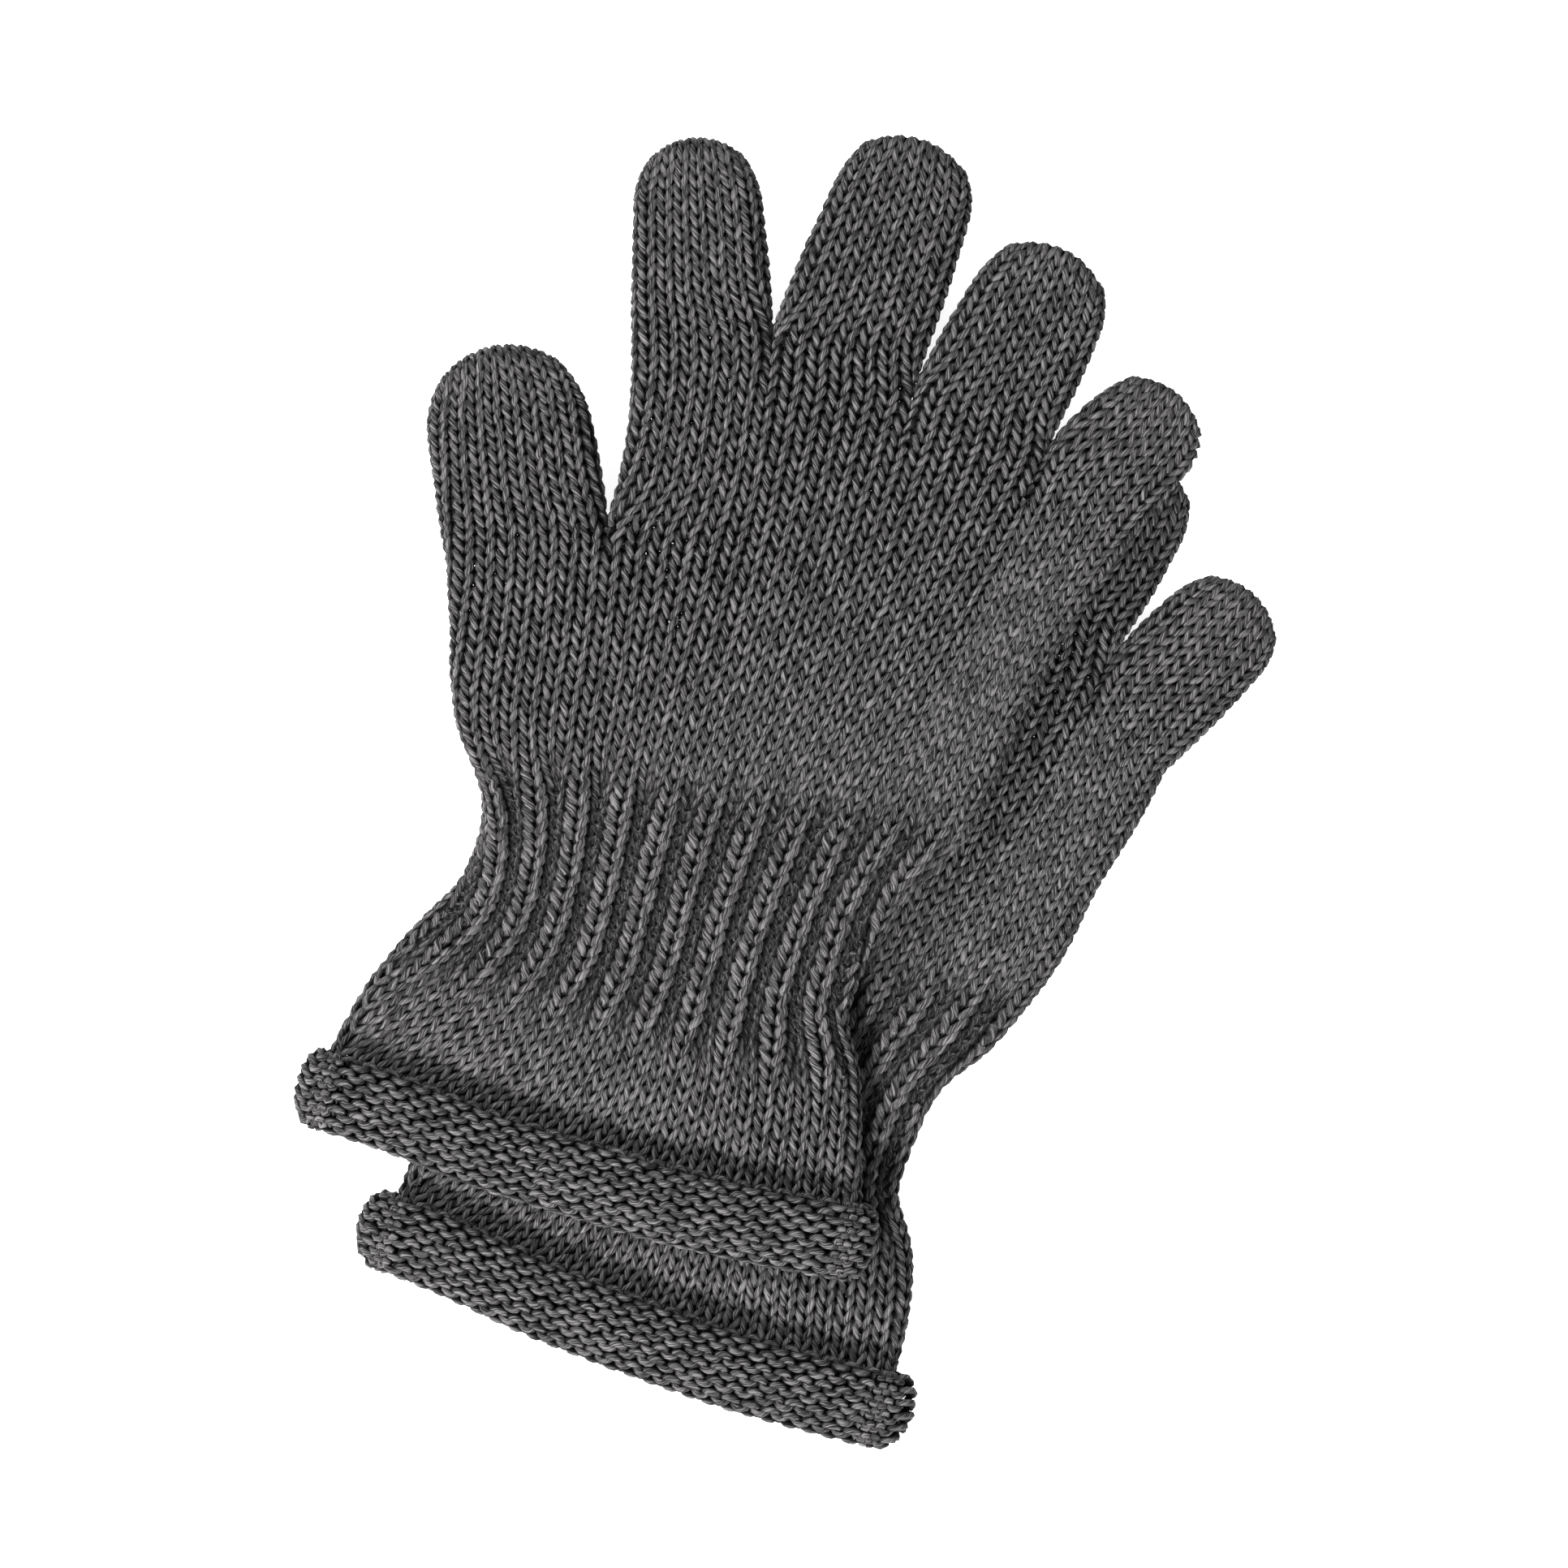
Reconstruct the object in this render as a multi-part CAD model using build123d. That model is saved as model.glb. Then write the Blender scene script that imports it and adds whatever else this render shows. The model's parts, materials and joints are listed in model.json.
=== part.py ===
from build123d import *
import math
import os

# A pair of hand-knitted style gloves lying palm to palm on a table, in millimetres.
# +Z is up, +Y runs from the cuffs to the fingertips, and both thumbs are on the -X side.
# Each glove is one knitted tube that forks into five fingers.  It is modelled as the
# sections that fold on each other: rolled hem, cuff, ribbed wrist, hand and fingers.
# Headings are degrees counter-clockwise from +X, so 90 points straight to the fingertips.

# Cloth
GLOVE_THICKNESS = 8.6      # one glove lying flat, two layers of cloth
WALL = 2.0                 # one layer of cloth
EDGE_ROUND = 3.2           # how round the glove's side edges are
HEM_THICKNESS = 13.0       # the rolled hem stands higher than the cuff
HEM_DEPTH = 16.6           # along the glove
HEM_TOP_ROUND = 5.2
HEM_FLOOR_ROUND = 1.6
HEM_CORNER_ROUND = 7.0
HEM_OVERHANG = 3.6         # how far the roll stands out past each side of the cuff
FINGER_GAP = 0.15          # between a finger's side and its knuckle corner
SEAM_GAP = 0.1             # between two sections that fold on each other
MOUTH_REACH = 1.0          # how far an opening is cut past its line
CAVITY = GLOVE_THICKNESS - 2 * WALL

FINGERS = ("thumb", "index_finger", "middle_finger", "ring_finger", "little_finger")

# Each finger: the left end of its knuckle line (x, y), heading, width and length.
# The wrist and hem lines run from left to right.  The hand's side points are the bends of
# its edge, listed from the fingers towards the hem.  The ribbed wrist and the cuff bend as
# one arc on each side, through the left and the right bend.
UPPER = {
    "name": "upper",
    "level": GLOVE_THICKNESS,
    "fingers": {
        "thumb": ((-80.8, 23.6), 114.0, 33.8, 41.6),
        "index_finger": ((-51.7, 65.3), 105.8, 27.2, 54.6),
        "middle_finger": ((-25.5, 72.7), 89.2, 28.0, 62.2),
        "ring_finger": ((2.6, 69.7), 80.0, 28.3, 53.4),
        "little_finger": ((30.8, 65.2), 67.0, 26.6, 39.3),
    },
    "rib_top": ((-61.6, -20.5), (38.8, -7.7)),
    "rib_bottom": ((-64.8, -47.8), (25.9, -48.1)),
    "hem_line": ((-77.4, -83.6), (38.4, -83.6)),
    "hand_left": [(-78.2, 16.4), (-74.3, 3.3), (-69.5, -9.4)],
    "hand_right": [(50.5, 44.0), (46.5, 27.5), (43.2, 12.0)],
    "rib_bends": ((-59.6, -34.0), (29.4, -27.0)),
    "cuff_bends": ((-72.6, -65.5), (33.6, -67.0)),
}

LOWER = {
    "name": "lower",
    "level": 0.0,
    "fingers": {
        "thumb": ((-60.6, -1.1), 106.0, 33.5, 38.0),
        "index_finger": ((-25.6, 46.9), 86.0, 27.0, 52.0),
        "middle_finger": ((1.3, 45.0), 80.0, 27.5, 59.0),
        "ring_finger": ((28.4, 40.2), 72.0, 28.0, 50.0),
        "little_finger": ((55.0, 31.5), 61.0, 26.0, 39.6),
    },
    "rib_top": ((-39.9, -46.8), (60.0, -39.5)),
    "rib_bottom": ((-44.9, -73.9), (45.4, -80.0)),
    "hem_line": ((-56.0, -109.0), (55.0, -116.3)),
    "hand_left": [(-58.0, -11.0), (-53.2, -24.0), (-46.6, -36.0)],
    "hand_right": [(73.2, 6.0), (68.6, -12.0), (65.6, -26.0)],
    "rib_bends": ((-40.0, -60.5), (49.0, -60.0)),
    "cuff_bends": ((-52.4, -91.5), (52.6, -97.0)),
}


def heading_vector(degrees):
    """The unit vector of a heading."""
    return Vector(math.cos(math.radians(degrees)), math.sin(math.radians(degrees)))


def knuckle_line(finger):
    """The two ends of a finger's knuckle line, left and right."""
    (x, y), heading, width, _ = finger
    left = Vector(x, y)
    return left, left + heading_vector(heading - 90) * width


def ends(line):
    """The two ends of a line given as two points."""
    return Vector(*line[0]), Vector(*line[1])


def finger_outline(finger, inset=0.0, reach_back=0.0):
    """The flat shape of a finger: two straight sides and a round tip."""
    (_, _), heading, width, length = finger
    left, right = knuckle_line(finger)
    middle = (left + right) / 2
    ahead = heading_vector(heading)
    across = heading_vector(heading - 90)
    half = width / 2 - FINGER_GAP - inset
    start = SEAM_GAP - reach_back
    shoulder = length - inset - half
    a = middle - across * half + ahead * start
    b = middle - across * half + ahead * shoulder
    tip = middle + ahead * (length - inset)
    c = middle + across * half + ahead * shoulder
    d = middle + across * half + ahead * start
    return Face(Wire([Line(a, b), ThreePointArc(b, tip, c), Line(c, d), Line(d, a)]))


def slab(outline, bottom, height):
    """A flat shape raised to a height, with its underside at a level."""
    return extrude(outline, amount=height, dir=(0, 0, 1)).moved(Location((0, 0, bottom)))


def rounded_sides(body, mouths):
    """The body with its long outer edges rounded, but not the edges at its mouths."""
    middles = [(p + q) / 2 for p, q in mouths]

    def is_side(edge):
        centre = edge.center()
        level = abs(edge.tangent_at(0.5).Z) < 0.01
        at_mouth = any(math.hypot(centre.X - m.X, centre.Y - m.Y) < 1.0 for m in middles)
        return level and not at_mouth and edge.length > 4
    return fillet(body.edges().filter_by(is_side), EDGE_ROUND)


def finger_body(finger, level):
    """One hollow finger, open at its knuckle line."""
    left, right = knuckle_line(finger)
    cloth = rounded_sides(slab(finger_outline(finger), level, GLOVE_THICKNESS), [(left, right)])
    inside = slab(finger_outline(finger, inset=WALL, reach_back=2.0), level + WALL, CAVITY)
    return cloth - inside


def mouth_corners(p, q, outward):
    """The corners of the space that opens a section's end wall along a line from p to q."""
    along = (q - p).normalized()
    out = outward * MOUTH_REACH
    back = outward * WALL
    a = p + along * WALL
    b = q - along * WALL
    return [a - back, a + out, b + out, b - back]


def side_curve(start, bends, end, shift=0.0):
    """The smooth edge of the cloth from one line's end to the next, its bends moved along X."""
    return Spline(start, *[Vector(*bend) + Vector(shift, 0) for bend in bends], end)


def chain(points):
    """Straight edges from point to point."""
    return [Line(p, q) for p, q in zip(points, points[1:])]


def hollow(outline, cavity_outline, mouths, level):
    """A hollow section of the glove, open along its mouth lines."""
    cloth = rounded_sides(slab(outline, level, GLOVE_THICKNESS), mouths)
    return cloth - slab(cavity_outline, level + WALL, CAVITY)


def hand_body(glove):
    """The hand, from the ribbed wrist to the five knuckle lines."""
    fingers = [glove["fingers"][name] for name in FINGERS]
    knuckles = [knuckle_line(finger) for finger in fingers]
    rib_left, rib_right = ends(glove["rib_top"])
    corners = [knuckles[0][0]]
    inner = []
    for finger, (left, right) in zip(fingers, knuckles):
        if (left - corners[-1]).length > 0.01:
            corners.append(left)
        corners.append(right)
        inner += mouth_corners(left, right, heading_vector(finger[1]))
    outline = Face(Wire(chain(corners) + [
        side_curve(corners[-1], glove["hand_right"], rib_right), Line(rib_right, rib_left),
        side_curve(rib_left, glove["hand_left"][::-1], corners[0])]))
    across = (rib_left - rib_right).normalized()
    wrist = mouth_corners(rib_right, rib_left, Vector(-across.Y, across.X))
    cavity = Face(Wire(chain(inner) + [side_curve(inner[-1], glove["hand_right"], wrist[0], -WALL)]
                       + chain(wrist) + [side_curve(wrist[-1], glove["hand_left"][::-1], inner[0], WALL)]))
    return hollow(outline, cavity, knuckles + [(rib_left, rib_right)], glove["level"])


def band_body(glove, upper_line, lower_line, bends):
    """A band of the glove between two lines across it: the ribbed wrist or the cuff."""
    a, b = ends(glove[upper_line])
    d, c = ends(glove[lower_line])
    ahead = Vector(a.Y - b.Y, b.X - a.X).normalized()
    behind = Vector(c.Y - d.Y, d.X - c.X).normalized()
    a -= ahead * SEAM_GAP
    b -= ahead * SEAM_GAP
    left, right = ends(glove[bends])
    wall = Vector(WALL, 0)
    outline = Face(Wire([Line(a, b), ThreePointArc(b, right, c), Line(c, d), ThreePointArc(d, left, a)]))
    top = mouth_corners(a, b, ahead)
    foot = mouth_corners(c, d, behind)
    cavity = Face(Wire(chain(top) + [ThreePointArc(top[-1], right - wall, foot[0])]
                       + chain(foot) + [ThreePointArc(foot[-1], left + wall, top[0])]))
    return hollow(outline, cavity, [(a, b), (d, c)], glove["level"])


def hem_body(glove):
    """The rolled hem: a plump bar across the cuff's mouth, with the mouth's slot through it."""
    left, right = ends(glove["hem_line"])
    along = (right - left).normalized()
    ahead = Vector(along.Y, -along.X)
    middle = (left + right) / 2 + ahead * (SEAM_GAP + HEM_DEPTH / 2)
    width = (right - left).length
    turn = math.degrees(math.atan2(along.Y, along.X))
    place = Location((middle.X, middle.Y, glove["level"]), (0, 0, turn))
    bar = extrude(RectangleRounded(width + 2 * HEM_OVERHANG, HEM_DEPTH, HEM_CORNER_ROUND), HEM_THICKNESS)
    bar = fillet(bar.faces().sort_by(Axis.Z)[-1].edges(), HEM_TOP_ROUND)
    bar = fillet(bar.faces().sort_by(Axis.Z)[0].edges(), HEM_FLOOR_ROUND)
    slot = Box(width - 2 * WALL, HEM_DEPTH + 2, CAVITY, align=(Align.CENTER, Align.CENTER, Align.MIN))
    return place * (bar - Pos(0, 0, WALL) * slot)


def glove_sections(glove):
    """Every section of one glove, by its node's name."""
    name = glove["name"]
    sections = {
        f"{name}_rolled_hem": hem_body(glove),
        f"{name}_cuff": band_body(glove, "rib_bottom", "hem_line", "cuff_bends"),
        f"{name}_wrist_rib": band_body(glove, "rib_top", "rib_bottom", "rib_bends"),
        f"{name}_hand": hand_body(glove),
    }
    for finger in FINGERS:
        sections[f"{name}_{finger}"] = finger_body(glove["fingers"][finger], glove["level"])
    return sections


nodes = {**glove_sections(LOWER), **glove_sections(UPPER)}

# The origin is the middle of the pair's footprint, on the table.
footprint = Compound(children=[body.moved(Location()) for body in nodes.values()]).bounding_box()
to_origin = Vector(-footprint.center().X, -footprint.center().Y, 0)

os.makedirs("parts", exist_ok=True)
for node, body in nodes.items():
    export_step(body.moved(Location(to_origin)), f"parts/{node}.step")
    print(node, round(body.volume), "mm3")
print("moved to the origin by", round(to_origin.X, 3), round(to_origin.Y, 3))
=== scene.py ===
import json
import math

import bpy
import numpy as np
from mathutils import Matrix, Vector


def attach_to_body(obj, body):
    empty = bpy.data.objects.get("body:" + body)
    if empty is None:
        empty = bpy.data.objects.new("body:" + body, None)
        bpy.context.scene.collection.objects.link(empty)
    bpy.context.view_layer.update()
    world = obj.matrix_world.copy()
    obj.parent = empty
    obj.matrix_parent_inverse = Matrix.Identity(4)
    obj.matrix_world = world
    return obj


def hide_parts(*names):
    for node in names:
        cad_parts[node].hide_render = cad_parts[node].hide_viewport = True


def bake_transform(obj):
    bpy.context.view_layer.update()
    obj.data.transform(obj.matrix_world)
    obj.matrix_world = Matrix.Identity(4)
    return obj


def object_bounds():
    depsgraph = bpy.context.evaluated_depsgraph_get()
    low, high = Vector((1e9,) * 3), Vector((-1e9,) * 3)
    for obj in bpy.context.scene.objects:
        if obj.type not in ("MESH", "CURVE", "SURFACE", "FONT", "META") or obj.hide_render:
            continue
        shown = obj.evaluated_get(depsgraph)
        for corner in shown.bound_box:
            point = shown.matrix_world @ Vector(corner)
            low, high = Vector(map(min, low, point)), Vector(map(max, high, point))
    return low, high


# A pair of knitted gloves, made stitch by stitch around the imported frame.
# Each course of each panel is a real strand of yarn, laid along the loops of stockinette.  The
# loops turn back in the ribbed wrist's grooves, which are purl stitches.
# Plan sizes are millimetres in the part's frame, as in the CAD, and turn into metres at the end.
# A "course" is a row of stitches and a "wale" a column.  Courses are numbered from the hem
# line towards the fingertips, and the rolled hem has the courses below 0.

MM = 0.001
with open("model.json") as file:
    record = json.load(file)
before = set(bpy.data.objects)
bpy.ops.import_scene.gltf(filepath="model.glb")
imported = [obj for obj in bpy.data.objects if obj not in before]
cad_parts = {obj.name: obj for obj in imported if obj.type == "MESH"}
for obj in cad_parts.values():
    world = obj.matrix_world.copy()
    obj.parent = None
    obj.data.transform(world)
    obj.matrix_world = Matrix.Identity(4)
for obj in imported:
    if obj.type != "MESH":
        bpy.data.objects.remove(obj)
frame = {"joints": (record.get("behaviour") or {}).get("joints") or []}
cad_low, cad_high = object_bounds()

# ---------------------------------------------------------------- yarn and stitch
YARN_RADIUS = 0.77
YARN_SIDES = 6
POINTS_PER_STITCH = 14
COURSE = 2.76              # height of one stitch
LEG_LEAN = 0.24            # how far a leg leans, in wales
LOOP_REACH = 0.92          # half the height of a loop, in courses
LOOP_DEPTH = 0.72          # how far heads and legs stand either side of the cloth's middle
STITCH_JITTER = 0.05
WALE_JITTER = 0.5          # share of the jitter that moves a stitch along its course
DEPTH_JITTER = 0.8         # share of the jitter that changes a loop's depth
JITTER_SPACING = 0.5       # wales between the places where the jitter is drawn
JITTER_REACH = 0.6         # the last of those places lies at most this far past a strand's end
JITTER_CALM = 0.3          # wales over which the jitter dies out at a strand's ends
STRAND_OVERLAP = 0.035     # how far neighbouring panels' strands overlap, in wales
YARN_STARTS = 500          # mm of yarn that the strands' starts are drawn from
STEP = 0.03                # wales or courses between two points that give the cloth's slope
HEM_STEP = 0.02            # the same, at the hem
RING_UP = np.cos(2 * math.pi * np.arange(YARN_SIDES) / YARN_SIDES)
RING_SIDE = np.sin(2 * math.pi * np.arange(YARN_SIDES) / YARN_SIDES)

# Painted shade in the yarn's colour: it darkens where the yarn lies near the cloth's middle, for
# the shade between and under the stitches.
CREVICE_BELOW = 0.55       # mm from the cloth's middle where the yarn lies in the dark
CREVICE_ABOVE = 1.35       # mm from the cloth's middle where it stands in full light
CREVICE_SHADE = 0.08       # how much of its brightness the yarn keeps in the dark

# ---------------------------------------------------------------- cloth
GLOVE_THICKNESS = 8.6
CLOTH_HALF = 1.6           # half the thickness of one layer
EDGE_INSET = 1.2           # from the outline to the cloth's middle at a round side
HALF_GAP = GLOVE_THICKNESS / 2 - CLOTH_HALF

# The ribbed wrist, and where courses change from one kind of knitting to the next
RIB_PERIOD = 3             # wales from crest to crest in the ribbed wrist
RIB_CREST = {1.0: 0.7, -1.0: 0.0}    # how far the ribs' crests stand out, front and back
RIB_DEPTH = {1.0: 1.7, -1.0: 1.2}    # from crest to groove
RIB_BUNCH = 0.42           # how far the grooves' wales draw together, in wales
RIB_START = 13             # first course of the ribbed wrist
RIB_FADE = 5.5             # course where the ribs have run out into the cuff
RIB_FADE_COURSES = 5.5     # courses over which they run out there
RIB_END = 29.5             # course where they have run out into the hand
RIB_END_COURSES = 6        # courses over which they run out there
CREST_YARN = 0.34          # how much fuller the yarn of the ribs' crests is
PURL_FROM = 0.75           # share of the way into a groove where its stitches are purl
PURL_TURN = 1.35           # how far a purl stitch's loops turn back, where 2 is all the way
HAND_START = 25            # first course of the hand
PANEL_WALES = (7, 6, 6, 6, 6)
FRONT_WALES = 33

# The rolled hem, and the cloth that goes under it
ROLL_START = 1.9           # how far the cloth runs on past the hem line before the roll
ROLL_HALF_DEPTH = 7.2      # half the roll's size along the glove
ROLL_END_DEPTH = (5.4, 6.6)      # half the roll's depth at its left and right ends
ROLL_HALF_HEIGHT = {"front": 3.6, "side": 3.0, "back": 1.1}
ROLL_COURSES = 13
ROLL_COURSE = 2.62         # height of one stitch in the roll
ROLL_LOOP_REACH = 0.78     # half the height of a loop in the roll, in courses
ROLL_YARN = 1.05           # the yarn is this much fuller where the roll frees it
ROLL_BLEND = (-0.5, 3)     # course where the loops start to change to the roll's, and over how many
ROLL_DEGREES = (-90, 330)  # the roll's turn, from where the cloth meets its floor
HEM_NORMAL_COURSE = 0.5    # course whose cloth the roll stands square to
HEM_DIP = 2.3              # how far the cloth dips where it goes under the roll
HEM_DIP_COURSES = 4.5      # courses over which it dips
BACK_RISE_COURSES = 3.5    # courses over which the back rises to the roll
# By share of its width: how far the hem bows out towards the wearer
HEM_BOW = ((0, -1.8), (0.1, -1.5), (0.3, 0.9), (0.5, 2.0), (0.7, 2.3), (0.85, 1.5), (1, 0.2))
ROLL_END_WALES = 3         # stitches round each quarter of the roll's ends

# Fingers and their sides
BACK_SHIFT = -0.5          # the back's courses lie between the front's
TIP_WRAP = 0.7             # how far the last course stands past the tip's rim line
TIP_TURN = 1.9             # radians that the cloth may turn over the tip's rim
PAST_TIP = 30              # a finger's sides run on straight this far past its tip's middle
KNUCKLE_PAST = 0.5         # a finger's knitting starts this far past its knuckle line
OUTER_REACH = 14.8         # an outer side has the finger's near width this far past the knuckles
OUTER_INSET = 1.0          # from the knuckle line's right end to the hand's corner
INNER_BELLY = 0.5          # how far an inner side bellies out half way along the finger
DEEP_CROTCH = -10          # a crotch lower than this belongs to the thumb
DEEP_BEND = (0.8, 19.5)    # where the side above it bends: past the near width, and along
STRIP_GROWTH = 6.0         # courses over which a side strip widens above a crotch
STRIP_EARLY = 2            # courses below the crotch where it starts to
STRIP_SIDE = 5             # courses below the crotch where it starts to belong to the finger

# By course: how many stitches there are to each nominal wale, and how many wales the columns
# have moved to the left.  Both make columns run out round the glove's sides.  The share widens
# the stitches from the wale DRIFT_PIVOT.
STITCH_SHARE = ((-4, 0.78), (0, 0.86), (6, 0.94), (13, 1.0))
COLUMN_DRIFT = ((0, 0.6), (13, -0.3), (25, 2.1), (33, 1.9), (46, 0.7), (58, 0.0))
DRIFT_PIVOT = 26

FINGERS = ("thumb", "index_finger", "middle_finger", "ring_finger", "little_finger")

# Each finger: the left end of its knuckle line, heading, width there, length; then the middle
# and half-width of the finger beside the crotch and at the centre of its round tip.
# The wrist's and hem's lines run from left to right, and the side points from the hem to the
# fingers.  crotch_courses and edge_courses are where the fingers part and where the outer sides
# leave the hand; the cloth closes over fold_courses below a crotch.  roll_reach is how far the
# roll stands out at its left and right ends, and drift is the glove's share of COLUMN_DRIFT.
UPPER = {
    "name": "upper",
    "level": GLOVE_THICKNESS,
    "fingers": {
        "thumb": ((-80.8, 23.6), 114.0, 33.8, 42.0, (0.6, 17.5), (0.6, 17.2)),
        "index_finger": ((-51.7, 65.3), 105.8, 27.2, 54.7, (1.4, 14.8), (1.1, 13.6)),
        "middle_finger": ((-25.5, 72.7), 89.2, 28.0, 62.2, (0.5, 16.0), (3.2, 14.9)),
        "ring_finger": ((2.6, 69.7), 80.0, 28.3, 54.1, (1.1, 15.3), (2.1, 14.6)),
        "little_finger": ((30.8, 65.2), 67.0, 26.6, 40.4, (-1.3, 13.0), (-0.5, 12.6)),
    },
    "rib_top": ((-61.6, -20.5), (38.8, -7.7)),
    "rib_bottom": ((-63.8, -47.8), (25.9, -48.1)),
    "hem_line": ((-77.4, -83.6), (38.4, -83.6)),
    "hand_left": [(-69.5, -9.4), (-74.3, 3.3), (-78.2, 16.4)],
    "hand_right": [(42.4, 3.3), (45.0, 22.0), (50.0, 43.0)],
    "rib_left": [(-60.7, -42.4), (-59.1, -35.0), (-59.1, -27.8)],
    "rib_right": [(26.2, -40.0), (28.3, -29.0), (31.7, -19.8), (35.9, -12.6)],
    "cuff_left": [(-75.8, -77.0), (-72.8, -66.8), (-69.6, -58.9), (-65.6, -50.8)],
    "cuff_right": [(36.4, -76.1), (31.9, -60.6), (29.4, -54.8)],
    "crotches": [(-49.9, 39.8), (-26.8, 87.4), (5.1, 84.1), (35.3, 78.5)],
    "crotch_courses": [46, 61, 59.5, 58],
    "fold_courses": [3, 6, 6, 6],
    "edge_courses": (43, 50),
    "roll_reach": (2.1, 2.6),
    "drift": 1.0,
}

LOWER = {
    "name": "lower",
    "level": 0.0,
    "fingers": {
        "thumb": ((-60.6, -1.1), 106.0, 33.5, 33.0, (0.0, 16.8), (0.0, 16.6)),
        "index_finger": ((-25.6, 46.9), 86.0, 27.0, 52.0, (-1.5, 13.0), (-2.0, 12.9)),
        "middle_finger": ((1.3, 45.0), 80.0, 27.5, 57.5, (-0.8, 13.2), (-1.6, 13.0)),
        "ring_finger": ((28.4, 40.2), 72.0, 28.0, 50.0, (1.5, 15.0), (1.6, 13.9)),
        "little_finger": ((55.0, 31.5), 61.0, 26.0, 40.4, (0.0, 12.8), (-0.1, 12.6)),
    },
    "rib_top": ((-39.9, -46.8), (60.0, -39.5)),
    "rib_bottom": ((-44.9, -73.9), (45.4, -80.0)),
    "hem_line": ((-56.0, -109.0), (55.0, -116.3)),
    "hand_left": [(-46.6, -36.0), (-53.2, -24.0), (-58.0, -11.0)],
    "hand_right": [(63.4, -32.0), (66.4, -23.5), (68.9, -11.0), (73.9, 6.0)],
    "rib_left": [(-40.0, -60.5)],
    "rib_right": [(45.7, -74.0), (46.8, -64.5), (49.4, -56.0), (56.2, -47.0)],
    "cuff_left": [(-52.4, -91.5)],
    "cuff_right": [(54.8, -108.0), (53.3, -97.5), (50.7, -90.2), (47.0, -84.4)],
    "crotches": [(-28.2, 11.5), (1.6, 57.5), (30.0, 52.0), (59.7, 39.2)],
    "crotch_courses": [44, 60, 58.5, 55],
    "fold_courses": [3, 6, 6, 6],
    "edge_courses": (43, 49),
    "roll_reach": (3.1, 3.4),
    "drift": 0.4,
}

# The CAD's own move to the origin, found again from one knuckle line that has a joint.
LITTLE_FOLD = [joint for joint in frame["joints"] if joint["name"] == "upper_little_fold"][0]


def heading_vector(degrees):
    return np.array([math.cos(math.radians(degrees)), math.sin(math.radians(degrees))])


def knuckle_middle(finger):
    """The middle of a finger's knuckle line."""
    return np.array(finger[0]) + heading_vector(finger[1] - 90) * finger[2] / 2


LITTLE_KNUCKLE = knuckle_middle(UPPER["fingers"]["little_finger"])
TO_ORIGIN = np.array(LITTLE_FOLD["pos_m"][:2]) / MM - LITTLE_KNUCKLE


# ---------------------------------------------------------------- curves
def natural_spline(knots, points):
    """A smooth curve through points at rising knots, straight beyond its ends."""
    t = np.array(knots, float)
    p = np.array(points, float)
    n = len(t)
    h = np.diff(t)
    a = np.zeros((n, n))
    b = np.zeros((n, p.shape[1]))
    a[0, 0] = a[-1, -1] = 1
    for i in range(1, n - 1):
        a[i, i - 1], a[i, i], a[i, i + 1] = h[i - 1], 2 * (h[i - 1] + h[i]), h[i]
        b[i] = 6 * ((p[i + 1] - p[i]) / h[i] - (p[i] - p[i - 1]) / h[i - 1])
    m = np.linalg.solve(a, b)

    def at(x):
        x = np.asarray(x, float)
        inside = np.clip(x, t[0], t[-1])
        i = np.clip(np.searchsorted(t, inside, side="right") - 1, 0, n - 2)
        d = (inside - t[i])[..., None]
        hi = h[i][..., None]
        slope = (p[i + 1] - p[i]) / hi - hi * (2 * m[i] + m[i + 1]) / 6
        value = p[i] + d * slope + d ** 2 * m[i] / 2 + d ** 3 * (m[i + 1] - m[i]) / (6 * hi)
        rate = slope + d * m[i] + d ** 2 * (m[i + 1] - m[i]) / (2 * hi)
        return value + rate * (x - inside)[..., None]
    return at


def smooth(x):
    x = np.clip(x, 0, 1)
    return x * x * (3 - 2 * x)


def by_course(table):
    """A smooth value by course, level beyond the table's ends."""
    curve = natural_spline([course for course, _ in table], [[value] for _, value in table])

    def at(course):
        return curve(np.clip(course, table[0][0], table[-1][0]))[..., 0]
    return at


STITCH_SHARE_AT = by_course(STITCH_SHARE)
COLUMN_DRIFT_AT = by_course(COLUMN_DRIFT)


def stitch_number(glove, whole, course):
    """The running number of the stitch at a wale position, with a fraction."""
    spread = DRIFT_PIVOT + (whole - DRIFT_PIVOT) * STITCH_SHARE_AT(course)
    return spread + glove["drift"] * COLUMN_DRIFT_AT(course)


def knots_by_length(start, end, points):
    """Course numbers for points between two courses, in step with the distance along them."""
    steps = np.linalg.norm(np.diff(np.array(points), axis=0), axis=1)
    return list(start + (end - start) * np.cumsum(steps)[:-1] / steps.sum())


class Finger:
    """One finger's own frame: u across it and d along it, from its knuckle line's middle."""

    def __init__(self, data):
        self.base = knuckle_middle(data)
        self.ahead = heading_vector(data[1])
        self.across = heading_vector(data[1] - 90)
        self.length = data[3]
        (self.near_middle, self.near_half), (self.far_middle, self.far_half) = data[4], data[5]
        self.tip_centre = self.length - self.far_half

    def place(self, u, d):
        return self.base + u[..., None] * self.across + d[..., None] * self.ahead

    def local(self, point):
        offset = np.asarray(point) - self.base
        return offset @ self.across, offset @ self.ahead


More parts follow.
